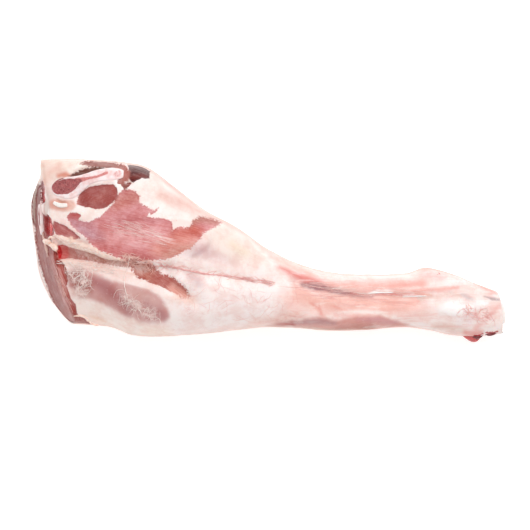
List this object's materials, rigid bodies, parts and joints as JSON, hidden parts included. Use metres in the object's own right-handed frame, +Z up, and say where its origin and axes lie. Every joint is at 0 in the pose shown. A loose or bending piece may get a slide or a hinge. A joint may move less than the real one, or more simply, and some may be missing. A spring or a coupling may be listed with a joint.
{
  "type": "raw leg of lamb",
  "caption": "Whole raw leg of lamb, bone in, with the shank on and cut at the hock, lying on its outer side with the lean inner face and the sawn aitch bone up.",
  "frame": {"origin": "on the table, under the middle of the leg's outline", "axes": "+X from the saw cut at the loin end to the hock, +Y towards the back of the leg (rump, tendon and heel), +Z up, out of the inner face"},
  "size_m": [0.4812, 0.1787, 0.1047],
  "materials": {
    "meat_and_fat": "moist satin",
    "bone": "sawn, moist",
    "marrow": "spongy, moist",
    "cartilage": "smooth, glossy"
  },
  "bodies": {
    "root": {"leg_meat": "meat_and_fat", "aitch_bone": "bone", "aitch_marrow": "marrow", "pubic_cartilage": "cartilage", "hip_bone": "bone", "hip_marrow": "marrow", "hock_bone": "cartilage"}
  },
  "joints": []
}
